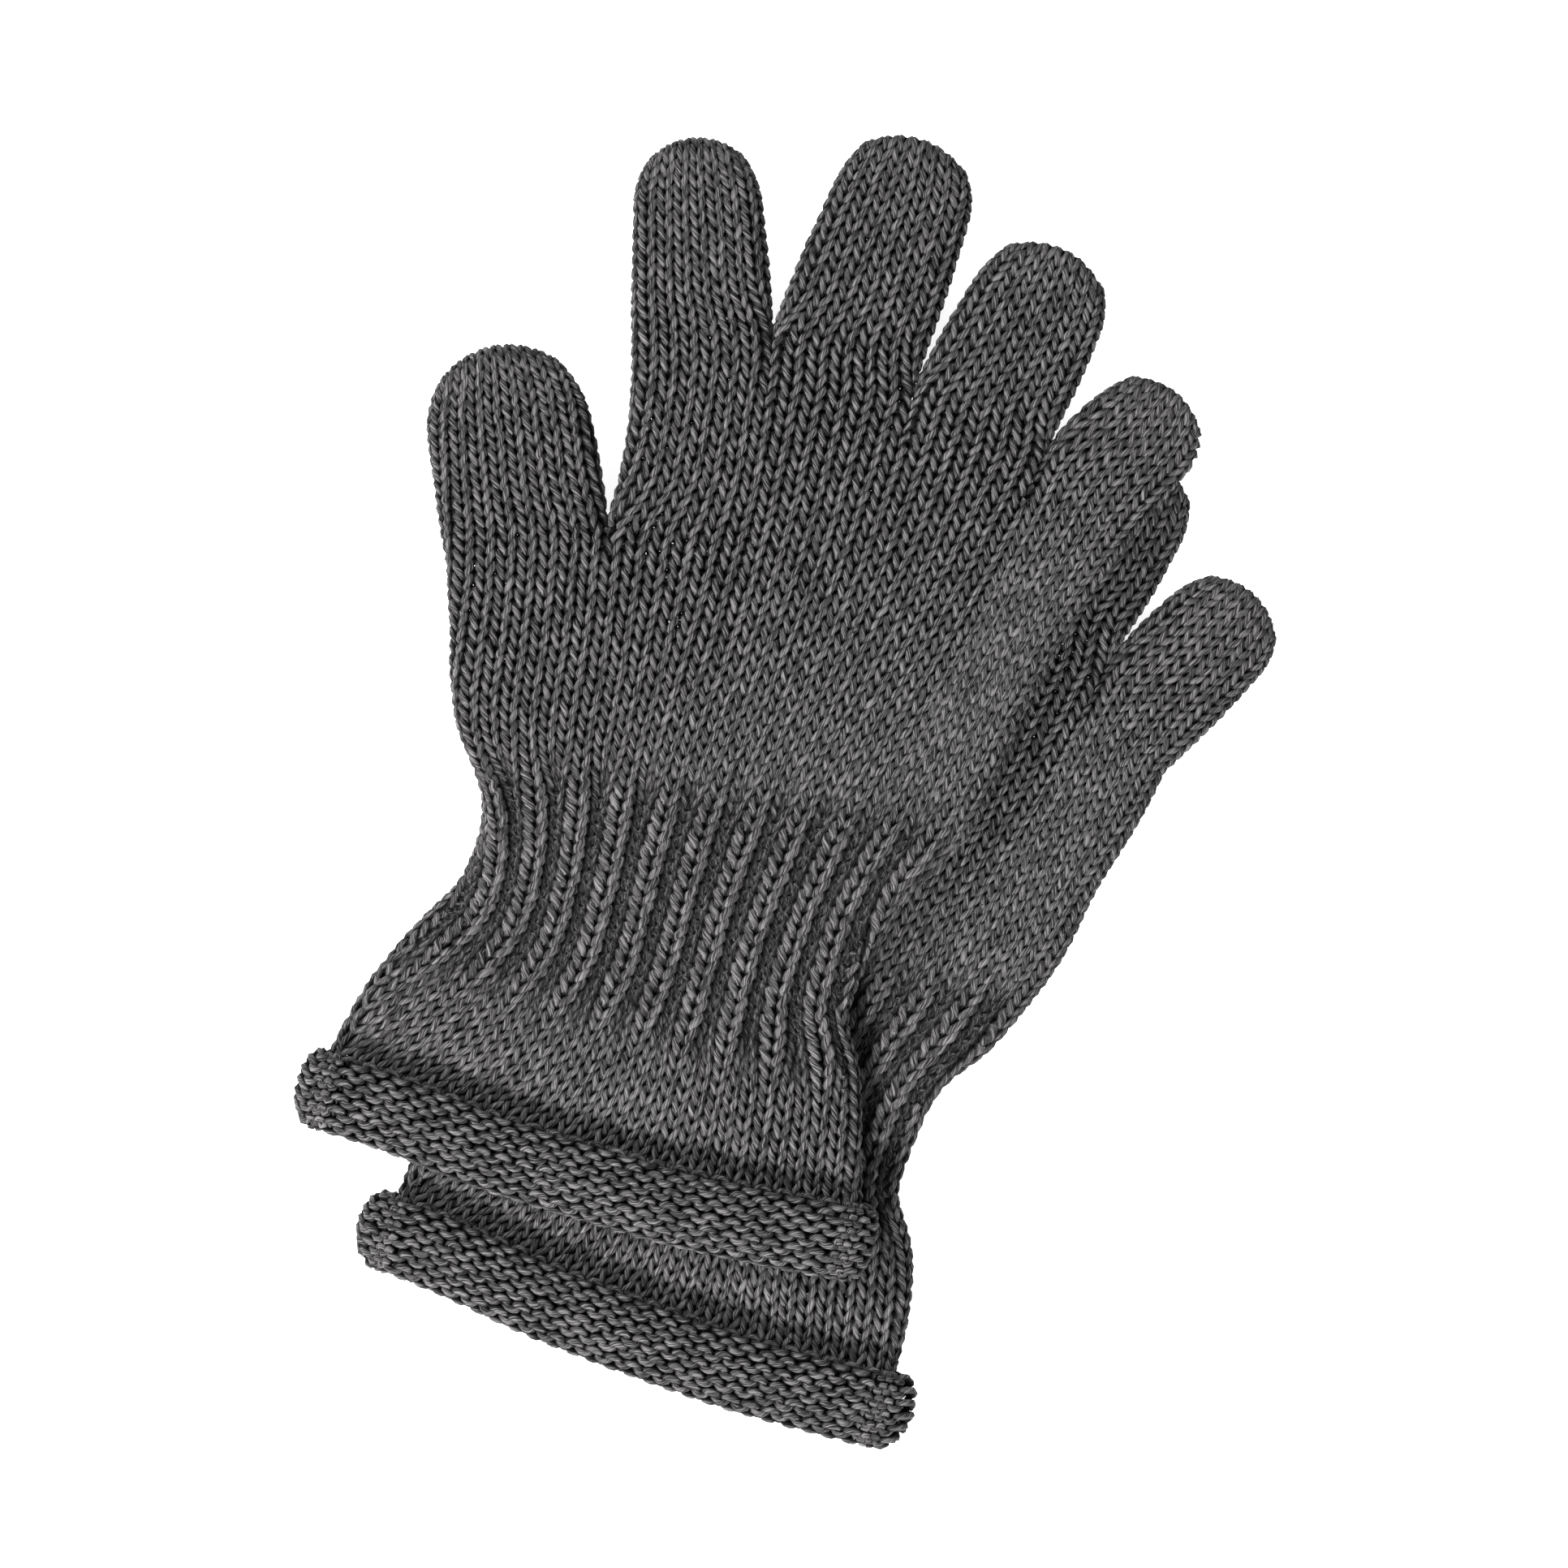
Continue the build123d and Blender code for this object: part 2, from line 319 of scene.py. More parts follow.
class Border:
    """One side of a panel, by course: shared with its neighbour up to a crotch, then its own."""

    def __init__(self, glove, number, finger, side):
        self.outer = number in (0, 5)
        left_end = number == 0
        share = 0 if left_end else (1 + sum(PANEL_WALES[:number])) / FRONT_WALES
        share = 1 if number == 5 else share

        def on_line(name):
            a, b = np.array(glove[name][0]), np.array(glove[name][1])
            return a + (b - a) * share
        hem, rib, hand = on_line("hem_line"), on_line("rib_bottom"), on_line("rib_top")
        knots, points = [0.0], [hem]
        if self.outer:
            which = "left" if left_end else "right"
            stretches = (("cuff_", 0, RIB_START, rib), ("rib_", RIB_START, HAND_START, hand))
            for name, lo, hi, end in stretches:
                bends = [np.array(p) for p in glove[name + which]]
                knots += knots_by_length(lo, hi, [points[-1]] + bends + [end]) + [hi]
                points += bends + [end]
            top = glove["edge_courses"][0 if left_end else 1]
            bends = [np.array(p) for p in glove["hand_" + which]]
            half = glove["fingers"][FINGERS[0 if left_end else 4]][2] / 2
            corner_u = -half if left_end else half - OUTER_INSET
            corner = finger.place(np.array(corner_u), np.array(0.0))
            knots += knots_by_length(HAND_START, top, [hand] + bends + [corner]) + [top]
            points += bends + [corner]
            self.crotch = top
            self.fold = 0
        else:
            crotch = np.array(glove["crotches"][number - 1])
            self.crotch = glove["crotch_courses"][number - 1]
            self.fold = glove["fold_courses"][number - 1]
            knots += [RIB_START, HAND_START, self.crotch]
            points += [rib, hand, crotch]
        self.shared = natural_spline(knots, points)
        self.finger = finger
        u0, d0 = finger.local(points[-1])
        sign = -1 if side == "left" else 1
        near = finger.near_middle + sign * finger.near_half
        far = finger.far_middle + sign * finger.far_half
        stations = [(u0, d0)]
        if d0 < DEEP_CROTCH:
            stations.append((near + DEEP_BEND[0] * sign, d0 + DEEP_BEND[1]))
        if self.outer or d0 < DEEP_CROTCH:
            stations.append((near, OUTER_REACH))
        else:
            halfway = (d0 + finger.tip_centre) / 2
            stations.append(((near + far) / 2 + INNER_BELLY * sign, halfway))
        stations += [(far, finger.tip_centre), (far, finger.tip_centre + PAST_TIP)]
        self.own = natural_spline([s[1] for s in stations], [[s[0]] for s in stations])
        self.start_d = d0
        self.far_course = self.crotch + (finger.tip_centre - d0) / COURSE
        self.pitch = COURSE

    def at(self, course):
        """Where the border is in plan."""
        course = np.asarray(course, float)
        d = self.start_d + (np.minimum(course, self.far_course) - self.crotch) * self.pitch
        d = d + np.maximum(course - self.far_course, 0) * COURSE
        own = self.finger.place(self.own(d)[..., 0], d)
        return np.where((course > self.crotch)[..., None], own, self.shared(course))

    def openness(self, course):
        """0 where the two panels run on into each other, 1 where the edge is a round side."""
        if self.outer:
            return np.ones_like(course)
        return np.clip((course - self.crotch + self.fold) / self.fold, 0, 1)

    def strip(self, course):
        """How many wales of the side strip lie on the front."""
        if self.outer:
            return np.ones_like(course)
        return smooth((course - self.crotch + STRIP_EARLY) / STRIP_GROWTH)


HEM_BOW_AT = natural_spline([t for t, _ in HEM_BOW], [[bow] for _, bow in HEM_BOW])


def edge_round(open_share):
    """Inset of the cloth's middle and the radius of the round side."""
    return EDGE_INSET * open_share, np.maximum(HALF_GAP * open_share, 1e-3)


def ellipse_table():
    """Distance rolled up against angle, for the hem's roll."""
    steps = ROLL_DEGREES[1] - ROLL_DEGREES[0] + 1
    angle = np.radians(np.linspace(*ROLL_DEGREES, steps))
    side = ROLL_HALF_HEIGHT["side"]
    step = np.hypot(np.diff(ROLL_HALF_DEPTH * np.cos(angle)), np.diff(side * np.sin(angle)))
    return np.concatenate([[0], np.cumsum(step)]), angle


ROLL_LENGTH, ROLL_ANGLE = ellipse_table()


class Panel:
    """One finger's panel of a glove, from the rolled hem to the fingertip."""

    def __init__(self, glove, number):
        self.glove = glove
        self.finger = Finger(glove["fingers"][FINGERS[number]])
        self.left = Border(glove, number, self.finger, "left")
        self.right = Border(glove, number + 1, self.finger, "right")
        far_course = (self.left.far_course + self.right.far_course) / 2
        for border in (self.left, self.right):
            border.far_course = far_course
            border.pitch = (self.finger.tip_centre - border.start_d) / (far_course - border.crotch)
        self.wales = PANEL_WALES[number]
        self.first_wale = 1 + sum(PANEL_WALES[:number])
        a, b = np.array(glove["hem_line"][0]), np.array(glove["hem_line"][1])
        along = (b - a) / np.linalg.norm(b - a)
        self.hem_out = np.array([along[1], -along[0], 0.0])

    def row(self, course):
        """What a course's cross-section is made of."""
        lo, hi = self.left.at(course), self.right.at(course)
        span = np.linalg.norm(hi - lo, axis=-1)
        in_l, a_l = edge_round(self.left.openness(course))
        in_r, a_r = edge_round(self.right.openness(course))
        flat = span - in_l - a_l - in_r - a_r
        arc = flat + math.pi / 2 * (a_l + a_r)
        pitch = arc / (self.wales + self.left.strip(course) + self.right.strip(course))
        return lo, (hi - lo) / span[..., None], span, in_l, a_l, in_r, a_r, flat, arc, pitch

    def gap(self, course, face):
        """Half the room between the two layers; the back layer rises to the hem's roll."""
        if face > 0:
            return HALF_GAP - HEM_DIP * (1 - smooth(course / HEM_DIP_COURSES))
        rise = smooth((BACK_RISE_COURSES - course) / BACK_RISE_COURSES)
        lifted = GLOVE_THICKNESS / 2 - CLOTH_HALF - 2 * ROLL_HALF_HEIGHT["back"]
        return HALF_GAP + (lifted - HALF_GAP) * rise

    def section(self, s, course, face):
        """A point at arc length s from the left edge's middle: plan place and drop from the top."""
        lo, along, span, in_l, a_l, in_r, a_r, flat, arc, _ = self.row(course)
        q_l = math.pi / 2 * a_l
        q_r = math.pi / 2 * a_r
        back = arc - s
        open_l, open_r = self.left.openness(course), self.right.openness(course)
        phi_l = np.clip(s / a_l, -1, math.pi / 2)
        phi_r = np.clip(back / a_r, -1, math.pi / 2)
        x = in_l + a_l + (s - q_l)
        past_l = np.minimum(s, 0) * (1 - open_l)
        past_r = np.minimum(back, 0) * (1 - open_r)
        x = np.where(s < q_l, in_l + a_l * (1 - np.cos(phi_l)) + past_l, x)
        x = np.where(back < q_r, span - in_r - a_r * (1 - np.cos(phi_r)) - past_r, x)
        depth = np.where(s < q_l, (1 - np.sin(phi_l)) * open_l, 0)
        depth = np.where(back < q_r, (1 - np.sin(phi_r)) * open_r, depth)
        plan = lo + along * x[..., None]
        return plan, depth

    def dome(self, plan, share):
        """Bend the sheet's end into the round fingertip: its plan place and its height's share."""
        finger = self.finger
        radius = finger.far_half - EDGE_INSET
        u, d = finger.local(plan)
        run = d - finger.tip_centre
        turn = np.clip((run - radius + HALF_GAP) / HALF_GAP, 0, TIP_TURN)
        y = np.minimum(run, radius - HALF_GAP) + HALF_GAP * np.sin(turn)
        x = np.clip((u - finger.far_middle) / radius, -1, 1)
        y = np.clip(y / radius, 0, 1)
        x_disc = x * np.sqrt(1 - y ** 2 / 2)
        y_disc = y * np.sqrt(1 - x ** 2 / 2)
        rim = np.clip(radius * (1 - np.hypot(x_disc, y_disc)) / HALF_GAP, 0, 1)
        round_share = np.sqrt(1 - (1 - rim) ** 2) * np.where(turn > math.pi / 2, -1, 1)
        round_plan = finger.place(finger.far_middle + x_disc * radius,
                                  finger.tip_centre + y_disc * radius)
        tip = run > 0
        return np.where(tip[..., None], round_plan, plan), np.where(tip, round_share, share)

    def rib_wave(self, number):
        """0 on a rib's crest, 1 in the groove beside it."""
        return 0.5 - 0.5 * np.cos(2 * math.pi * number / RIB_PERIOD)

    def ribbing(self, course):
        """0 away from the ribbed wrist, 1 inside it."""
        from_cuff = smooth((course - RIB_FADE) / RIB_FADE_COURSES)
        return from_cuff * smooth((RIB_END - course) / RIB_END_COURSES)

    def lay(self, s, course, face, wale):
        """The cloth's middle surface in space, from the arc length across a course."""
        plan, depth = self.section(s, course, face)
        plan, share = self.dome(plan, 1 - depth)
        bow = HEM_BOW_AT(wale / FRONT_WALES)[..., 0] * (1 - smooth(course / RIB_START))
        plan = plan + bow[..., None] * self.hem_out[:2]
        layer = np.where(face > 0, self.gap(course, 1), self.gap(course, -1))
        crest = np.where(face > 0, RIB_CREST[1.0], RIB_CREST[-1.0])
        groove = np.where(face > 0, RIB_DEPTH[1.0], RIB_DEPTH[-1.0])
        number = stitch_number(self.glove, wale, course)
        wave = self.rib_wave(number)
        height = (layer + (crest - groove * wave) * self.ribbing(course)) * share
        z = self.glove["level"] + GLOVE_THICKNESS / 2 + face * height
        return np.concatenate([plan + TO_ORIGIN, z[..., None]], axis=-1)

    def front(self, wale, course, face):
        """The front or back layer at a wale and a course, both with fractions."""
        whole = wale + self.first_wale
        number = stitch_number(self.glove, whole, course)
        bunch = RIB_BUNCH * np.sin(2 * math.pi * number / RIB_PERIOD) * self.ribbing(course)
        bunch = bunch * smooth(np.minimum(whole - 1, FRONT_WALES - 1 - whole))
        s = (wale + self.left.strip(course) + bunch) * self.row(course)[-1]
        return self.lay(s, course, np.full_like(course, face), whole)

    def side(self, wale, course, edge):
        """A side strip: wale runs from -1 on the back to 1 on the front, round the edge."""
        border = self.left if edge == "left" else self.right
        row = self.row(course)
        s = np.abs(wale) * row[-1] * border.strip(course)
        if edge == "right":
            s = row[-2] - s
        whole = np.abs(wale) + 0 * course
        if edge == "right":
            whole = FRONT_WALES - whole
        return self.lay(s, course, np.where(wale < 0, -1.0, 1.0), whole)

    def finger_start(self, last):
        """The first course past the finger's knuckle line."""
        for course in range(HAND_START + 1, last):
            spot = np.array(float(course))
            middle = (self.left.at(spot) + self.right.at(spot)) / 2
            if self.finger.local(middle)[1] > KNUCKLE_PAST:
                return course
        return last

    def stitches(self, kind):
        """The stitch number along a strand, how far its loops lean with the columns, and its place
        in the ribs: how far into a groove, and how much ribbing there is."""
        if kind in ("front", "back"):
            def along(w, c):
                return stitch_number(self.glove, w + self.first_wale, c)

            def groove(w, c):
                return self.rib_wave(along(w, c)), self.ribbing(c)
            return along, (1.0 if kind == "front" else 0.0), groove
        left = kind == "left_side"
        edge = self.first_wale + (0 if left else self.wales)
        sign = 1 if left else -1

        def round_edge(w, c):
            return w + sign * stitch_number(self.glove, edge, c)

        def no_groove(w, c):
            return 0 * w, 0 * w
        return round_edge, 0.0, no_groove


def roll_offset(distance, normal, reach):
    """How far the rolled hem has gone out and up after a distance along the cloth."""
    flat = np.abs(normal[..., 2])
    face = np.where(normal[..., 2] > 0, ROLL_HALF_HEIGHT["front"], ROLL_HALF_HEIGHT["back"])
    left = normal[..., 0] < 0
    end = np.where(left, *reach)
    half_height = end + (face - end) * flat
    end_depth = np.where(left, *ROLL_END_DEPTH)
    half_depth = end_depth + (ROLL_HALF_DEPTH - end_depth) * smooth(flat)
    straight = ROLL_START + half_depth
    angle = np.interp(distance - straight, ROLL_LENGTH, ROLL_ANGLE)
    out = np.where(distance < straight, distance, straight + half_depth * np.cos(angle))
    up = np.where(distance < straight, 0, half_height * (1 + np.sin(angle)))
    return out, up


def surface(panel, kind):
    """The mapping from wale and course to space, and the sign of its outward side."""
    if kind in ("front", "back"):
        face = 1.0 if kind == "front" else -1.0

        def flat(w, c):
            return panel.front(w, c, face)
        return flat, face
    edge = "left" if kind == "left_side" else "right"

    def round_side(w, c):
        return panel.side(w, c, edge)
    return round_side, (1.0 if edge == "left" else -1.0)


def with_roll(panel, place, sign):
    """The mapping carried on below course 0 into the rolled hem."""
    def normal(w, c):
        dw = place(w + HEM_STEP, c) - place(w - HEM_STEP, c)
        dc = place(w, c + HEM_STEP) - place(w, c - HEM_STEP)
        n = np.cross(dw, dc) * sign
        return n / np.linalg.norm(n, axis=-1, keepdims=True)

    def rolled(w, c):
        above = np.maximum(c, 0.0)
        p = place(w, above)
        if not (c < 0).any():
            return p
        n = normal(w, np.zeros_like(c) + HEM_NORMAL_COURSE)
        n[..., 1] = 0
        n /= np.linalg.norm(n, axis=-1, keepdims=True)
        out, up = roll_offset(np.maximum(-c, 0) * ROLL_COURSE, n, panel.glove["roll_reach"])
        return p + out[..., None] * panel.hem_out + up[..., None] * n
    return rolled


def strands(place, sign, wales, courses, stitches, rng):
    """The middle lines of strands, one a course: points, normals, depth and yarn radius."""
    number, follow, groove = stitches
    steps = int(round((wales[1] - wales[0]) * POINTS_PER_STITCH))
    w = np.linspace(wales[0] - STRAND_OVERLAP, wales[1] + STRAND_OVERLAP, steps + 1)
    spots = np.arange(wales[0], wales[1] + JITTER_REACH, JITTER_SPACING)
    near = np.clip(1 - np.abs(w[None, :] - spots[:, None]) / JITTER_SPACING, 0, 1)
    near *= np.clip(np.minimum(w - wales[0], wales[1] - w) / JITTER_CALM, 0, 1)
    size = (len(courses), len(spots))
    loose, along_course, along_wale = [rng.normal(0, STITCH_JITTER, size) @ near for _ in range(3)]
    row = np.asarray(courses, float)[:, None] + 0 * w
    t = 2 * math.pi * number(w, row)
    rate = number(w + 0.5, row) - number(w - 0.5, row)
    drift = -follow * (number(w, row + 0.5) - number(w, row - 0.5)) / rate
    rolled = smooth((ROLL_BLEND[0] - row) / ROLL_BLEND[1])
    rise = (LOOP_REACH + (ROLL_LOOP_REACH - LOOP_REACH) * rolled) * np.cos(t) + along_wale
    dip, ribbed = groove(w + 0 * row, row)
    purl = np.clip(dip / PURL_FROM, 0, 1) * ribbed
    radius = YARN_RADIUS * (1 + (ROLL_YARN - 1) * rolled) * (1 + CREST_YARN * (1 - dip) * ribbed)
    lean = LEG_LEAN / rate * np.sin(2 * t) * (1 + loose)
    w_yarn = w + lean + WALE_JITTER * along_course + drift * rise
    c_yarn = row + rise
    centre = place(w_yarn, c_yarn)
    across = place(w_yarn + STEP, c_yarn) - place(w_yarn - STEP, c_yarn)
    along = place(w_yarn, c_yarn + STEP) - place(w_yarn, c_yarn - STEP)
    normal = np.cross(across, along) * sign
    normal /= np.maximum(np.linalg.norm(normal, axis=-1, keepdims=True), 1e-9)
    depth = -LOOP_DEPTH * np.cos(2 * t) * (1 + DEPTH_JITTER * loose) * (1 - PURL_TURN * purl)
    return centre + normal * depth[..., None], normal, depth, radius


def tubes(points, normals, radius):
    """Tubes of yarn round middle lines: rings of points, and the length along each."""
    tangent = np.gradient(points, axis=1)
    tangent /= np.linalg.norm(tangent, axis=-1, keepdims=True)
    up = normals - (normals * tangent).sum(-1, keepdims=True) * tangent
    up /= np.maximum(np.linalg.norm(up, axis=-1, keepdims=True), 1e-9)
    side = np.cross(tangent, up)
    ring = RING_UP[:, None] * up[:, :, None, :] + RING_SIDE[:, None] * side[:, :, None, :]
    steps = np.linalg.norm(np.diff(points, axis=1), axis=-1)
    length = np.concatenate([np.zeros((len(points), 1)), np.cumsum(steps, axis=1)], axis=1)
    return points[:, :, None, :] + radius[..., None, None] * ring, length


class Knit:
    """One piece of knitting: its strands, gathered into a single mesh."""

    def __init__(self, name):
        self.name = name
        self.co = []
        self.proud = []
        self.quads = []
        self.uv = []
        self.count = 0

    def add(self, points, normals, depth, radius, start):
        rings, length = tubes(points, normals, radius)
        rows, n, k = rings.shape[:3]
        index = self.count + np.arange(rows * n * k).reshape(rows, n, k)
        a, b = index[:, :-1], index[:, 1:]
        quads = np.stack([a, b, np.roll(b, -1, 2), np.roll(a, -1, 2)], axis=-1)
        u = length + start[:, None]
        u0, u1, v0 = np.broadcast_arrays(u[:, :-1, None], u[:, 1:, None], np.arange(k) / k)
        v1 = v0 + 1 / k
        corners = ((u0, v0), (u1, v0), (u1, v1), (u0, v1))
        uv = np.stack([np.stack(corner, -1) for corner in corners], axis=3)
        # How far each ring point stands from the cloth's middle; the yarn's colour reads it to
        # paint shade into the hollows of the knit.
        self.proud.append(np.abs(depth[..., None] + radius[..., None] * RING_UP).ravel())
        self.co.append(rings.reshape(-1, 3))
        self.quads.append(quads.reshape(-1, 4))
        self.uv.append(uv.reshape(-1, 2))
        self.count += rows * n * k

    def build(self, material):
        co = np.concatenate(self.co) * MM
        quads = np.concatenate(self.quads)
        uv = np.concatenate(self.uv)
        mesh = bpy.data.meshes.new(self.name)
        mesh.vertices.add(len(co))
        mesh.vertices.foreach_set("co", co.astype(np.float32).ravel())
        mesh.loops.add(quads.size)
        mesh.loops.foreach_set("vertex_index", quads.astype(np.int32).ravel())
        mesh.polygons.add(len(quads))
        mesh.polygons.foreach_set("loop_start", np.arange(0, quads.size, 4, dtype=np.int32))
        mesh.update(calc_edges=True)
        layer = mesh.uv_layers.new(name="yarn")
        layer.uv.foreach_set("vector", uv.astype(np.float32).ravel())
        proud = mesh.attributes.new(name="proud", type="FLOAT", domain="POINT")
        proud.data.foreach_set("value", np.concatenate(self.proud).astype(np.float32))
        mesh.shade_smooth()
        mesh.materials.append(material)
        mesh.validate()
        piece = bpy.data.objects.new(self.name, mesh)
        bpy.context.scene.collection.objects.link(piece)
        return piece


# ---------------------------------------------------------------- knitting
def section_name(course, finger_start, finger):
    """Which section of the glove a course belongs to."""
    if course < 0:
        return "rolled_hem"
    if course < RIB_START:
        return "cuff"
    if course < HAND_START:
        return "wrist_rib"
    if course < finger_start:
        return "hand"
    return finger


def finer(place):
    """The same surface with more stitches round it."""
    def lay(w, c):
        return place(w / ROLL_END_WALES, c)
    return lay


def knit_glove(glove, seed):
    """All the knitting of one glove, as pieces by section name."""
    rng = np.random.default_rng(seed)
    pieces = {}

    def piece(name):
        if name not in pieces:
            pieces[name] = Knit(f"{glove['name']}_{name}")
        return pieces[name]

    for number, finger in enumerate(FINGERS):
        panel = Panel(glove, number)
        top = panel.finger.tip_centre + panel.finger.far_half - EDGE_INSET + TIP_WRAP
        last = int((top - panel.finger.tip_centre) / COURSE + panel.left.far_course)
        for kind in ("front", "back", "left_side", "right_side"):
            place, sign = surface(panel, kind)
            place = with_roll(panel, place, sign)
            border = {"left_side": panel.left, "right_side": panel.right}.get(kind)
            first = -ROLL_COURSES
            start = panel.finger_start(last)
            wales = (0, panel.wales) if border is None else (-1, 1)
            if border is not None and not border.outer:
                first = int(math.ceil(border.crotch)) - 1
                start = border.crotch - STRIP_SIDE
            groups = {}
            for course in range(first, last + 1):
                name = section_name(course, start, finger)
                if name in ("hand", "rolled_hem"):
                    name += "_back" if kind == "back" else "_front"
                fine = border is not None and course < -1
                groups.setdefault((name, fine), []).append(course)
            for (name, fine), courses in groups.items():
                lay = finer(place) if fine else place
                span = (-ROLL_END_WALES, ROLL_END_WALES) if fine else wales
                rows = np.array(courses) + (BACK_SHIFT if kind == "back" else 0.0)
                yarn = strands(lay, sign, span, rows, panel.stitches(kind), rng)
                piece(name).add(*yarn, rng.uniform(0, YARN_STARTS, len(courses)))
    return pieces


# ---------------------------------------------------------------- materials
TWIST_PITCH = 9.0                  # mm of yarn in which its fibres go round once
FINE_FIBRES = (2.8, 0.40, 2.5)     # the noise's size round the yarn and along it, and its detail
BROAD_FIBRES = (0.8, 0.10, 1.0)
FINE_SHARE = 0.82
BROAD_SHARE = 0.18
FIBRE_NOISE_ROUGHNESS = 0.6
FIBRE_BUMP = 0.45
FIBRE_HEIGHT = 0.00025             # metres
HEATHER_DARK = (0.40, (0.006, 0.0058, 0.006, 1))
HEATHER_MIDDLE = (0.50, (0.030, 0.029, 0.0295, 1))
HEATHER_PALE = (0.62, (0.095, 0.092, 0.0935, 1))
YARN_FINISH = {
    "Roughness": 0.88,
    "Specular IOR Level": 0.03,
    "Sheen Weight": 0.02,
    "Sheen Roughness": 0.5,
}
PAPER_FINISH = {
    "Base Color": (0.93, 0.93, 0.93, 1),
    "Emission Color": (1, 1, 1, 1),
    "Emission Strength": 0.8,
    "Roughness": 0.9,
    "Specular IOR Level": 0.1,
}


def set_inputs(shader, values):
    for name, value in values.items():
        shader.inputs[name].default_value = value


def new_material(name):
    material = bpy.data.materials.new(name)
    material.use_nodes = True
    nodes = material.node_tree.nodes
    return material, nodes, material.node_tree.links, nodes["Principled BSDF"]


def math_node(nodes, links, operation, a, b=None):
    node = nodes.new("ShaderNodeMath")
    node.operation = operation
    for slot, value in enumerate((a, b)):
        if value is None:
            continue
        if isinstance(value, (int, float)):
            node.inputs[slot].default_value = value
        else:
            links.new(value, node.inputs[slot])
    return node.outputs[0]


def heather_yarn(name):
    """Charcoal heather wool: pale and dark fibres that run along the yarn with its twist, darkened
    as painted shade where the yarn lies near the cloth's middle.
    """
    material, nodes, links, shader = new_material(name)
    uv = nodes.new("ShaderNodeUVMap")
    uv.uv_map = "yarn"
    split = nodes.new("ShaderNodeSeparateXYZ")
    links.new(uv.outputs[0], split.inputs[0])
    length, turn = split.outputs[0], split.outputs[1]

    def calculate(operation, a, b=None):
        return math_node(nodes, links, operation, a, b)
    twisted = calculate("ADD", turn, calculate("DIVIDE", length, TWIST_PITCH))
    angle = calculate("MULTIPLY", twisted, 2 * math.pi)

    def fibres(radius, stretch, detail):
        join = nodes.new("ShaderNodeCombineXYZ")
        links.new(calculate("MULTIPLY", length, stretch), join.inputs[0])
        cosine = calculate("COSINE", angle)
        sine = calculate("SINE", angle)
        links.new(calculate("MULTIPLY", cosine, radius), join.inputs[1])
        links.new(calculate("MULTIPLY", sine, radius), join.inputs[2])
        noise = nodes.new("ShaderNodeTexNoise")
        noise.inputs["Scale"].default_value = 1.0
        noise.inputs["Detail"].default_value = detail
        noise.inputs["Roughness"].default_value = FIBRE_NOISE_ROUGHNESS
        links.new(join.outputs[0], noise.inputs["Vector"])
        return noise.outputs["Fac"]
    fine = fibres(*FINE_FIBRES)
    broad = fibres(*BROAD_FIBRES)
    mix = calculate("ADD", calculate("MULTIPLY", fine, FINE_SHARE),
                    calculate("MULTIPLY", broad, BROAD_SHARE))
    ramp = nodes.new("ShaderNodeValToRGB")
    stops = ramp.color_ramp.elements
    stops[0].position, stops[0].color = HEATHER_DARK
    stops[1].position, stops[1].color = HEATHER_PALE
    stops.new(HEATHER_MIDDLE[0]).color = HEATHER_MIDDLE[1]
    links.new(mix, ramp.inputs[0])
    # Painted shade: the fibre colour darkens smoothly towards the cloth's middle, keeping
    # CREVICE_SHADE of its brightness below CREVICE_BELOW.
    proud = nodes.new("ShaderNodeAttribute")
    proud.attribute_name = "proud"
    crevice = nodes.new("ShaderNodeMapRange")
    crevice.interpolation_type = "SMOOTHSTEP"
    crevice.inputs["From Min"].default_value = CREVICE_BELOW
    crevice.inputs["From Max"].default_value = CREVICE_ABOVE
    crevice.inputs["To Min"].default_value = CREVICE_SHADE
    links.new(proud.outputs["Fac"], crevice.inputs["Value"])
    shade = nodes.new("ShaderNodeVectorMath")
    shade.operation = "SCALE"
    links.new(ramp.outputs[0], shade.inputs[0])
    links.new(crevice.outputs[0], shade.inputs["Scale"])
    links.new(shade.outputs[0], shader.inputs["Base Color"])
    bump = nodes.new("ShaderNodeBump")
    bump.inputs["Strength"].default_value = FIBRE_BUMP
    bump.inputs["Distance"].default_value = FIBRE_HEIGHT
    links.new(fine, bump.inputs["Height"])
    links.new(bump.outputs[0], shader.inputs["Normal"])
    set_inputs(shader, YARN_FINISH)
    return material


# ---------------------------------------------------------------- the pair
YARN = heather_yarn("charcoal_heather_yarn")

SEEDS = {"lower": 11, "upper": 7}


def attach(glove, section, piece):
    """Hide the CAD part that a piece stands for, then join the piece to the body that carries it;
    the upper glove's fingers, the lower glove's little finger and the cuffs are only baked in
    place.
    """
    name = glove["name"]
    upper = name == "upper"
    palm = f"{name}_glove"
    section = section.replace("_front", "").replace("_back", "")
    node = f"{name}_{section}"
    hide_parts(node)
    if section in FINGERS and (upper or section == "little_finger"):
        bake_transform(piece)
    elif section == "rolled_hem":
        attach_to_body(piece, "upper_cuff_and_hem" if upper else "lower_hem_roll")
    elif section == "cuff" and upper:
        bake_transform(piece)
    elif section == "cuff":
        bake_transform(piece)
    else:
        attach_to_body(piece, palm)


for glove in (LOWER, UPPER):
    for section, knit in knit_glove(glove, SEEDS[glove["name"]]).items():
        attach(glove, section, knit.build(YARN))


# ---------------------------------------------------------------- studio
FLOOR_HALF = 3.0
WORLD_STRENGTH = 1.0

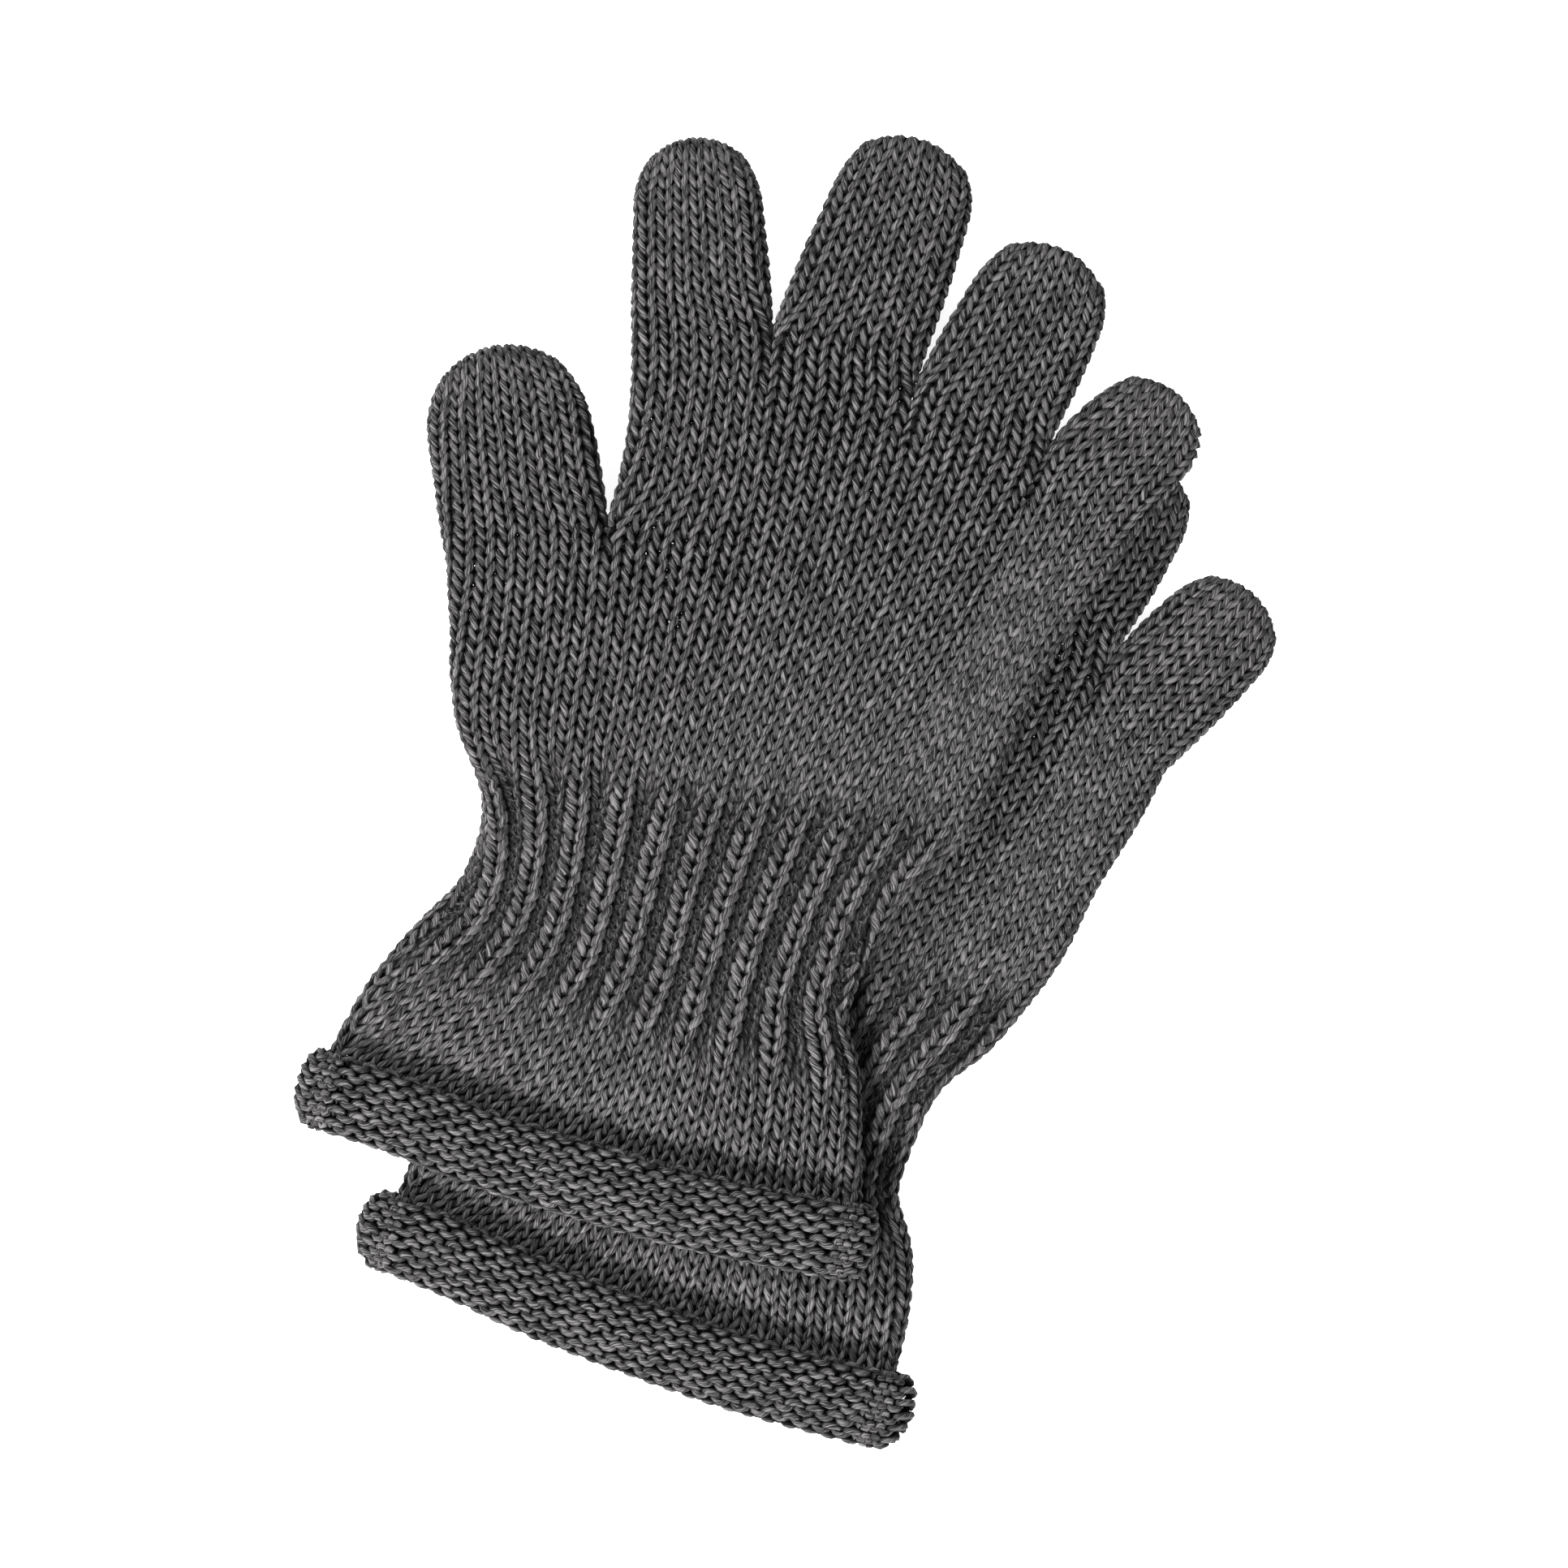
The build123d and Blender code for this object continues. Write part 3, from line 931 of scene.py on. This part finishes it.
# Each light: name, place, size and power.  It points at the origin.
LIGHTS = (
    ("key", (-0.25, -1.25, 0.95), 0.35, 90),
    ("fill", (-1.3, 0.2, 1.2), 0.8, 58),
)


def floor():
    mesh = bpy.data.meshes.new("floor")
    half = FLOOR_HALF
    corners = [(-half, -half, 0), (half, -half, 0), (half, half, 0), (-half, half, 0)]
    mesh.from_pydata(corners, [], [(0, 1, 2, 3)])
    plane = bpy.data.objects.new("floor", mesh)
    material, _, _, shader = new_material("pale_paper")
    set_inputs(shader, PAPER_FINISH)
    mesh.materials.append(material)
    bpy.context.scene.collection.objects.link(plane)


def area_light(name, position, size, power):
    data = bpy.data.lights.new(name, "AREA")
    data.shape = "DISK"
    data.size = size
    data.energy = power
    lamp = bpy.data.objects.new(name, data)
    lamp.location = position
    lamp.rotation_euler = (-Vector(position)).to_track_quat("-Z", "Y").to_euler()
    bpy.context.scene.collection.objects.link(lamp)


def studio():
    world = bpy.data.worlds.new("studio")
    bpy.context.scene.world = world
    world.use_nodes = True
    background = world.node_tree.nodes["Background"]
    background.inputs[0].default_value = (1, 1, 1, 1)
    background.inputs[1].default_value = WORLD_STRENGTH
    for light in LIGHTS:
        area_light(*light)


CAMERA_HEIGHT = 2.6
CAMERA_OFFSET = (0.0002, -0.0051)  # from the middle of the CAD box
FOCUS_HEIGHT = 0.012               # where the picture's width is measured
PICTURE_WIDTH = 0.3284
PICTURE_ROLL = 15.0
SENSOR_WIDTH = 36


def camera():
    data = bpy.data.cameras.new("camera")
    data.sensor_width = SENSOR_WIDTH
    data.lens = SENSOR_WIDTH * (CAMERA_HEIGHT - FOCUS_HEIGHT) / PICTURE_WIDTH
    data.clip_start = 0.1
    data.clip_end = 20
    view = bpy.data.objects.new("camera", data)
    middle = (cad_low + cad_high) / 2
    view.location = (middle.x + CAMERA_OFFSET[0], middle.y + CAMERA_OFFSET[1], CAMERA_HEIGHT)
    view.rotation_euler = (0, 0, math.radians(PICTURE_ROLL))
    bpy.context.scene.collection.objects.link(view)
    bpy.context.scene.camera = view


floor()
studio()
camera()
bpy.context.scene.view_settings.view_transform = "Standard"
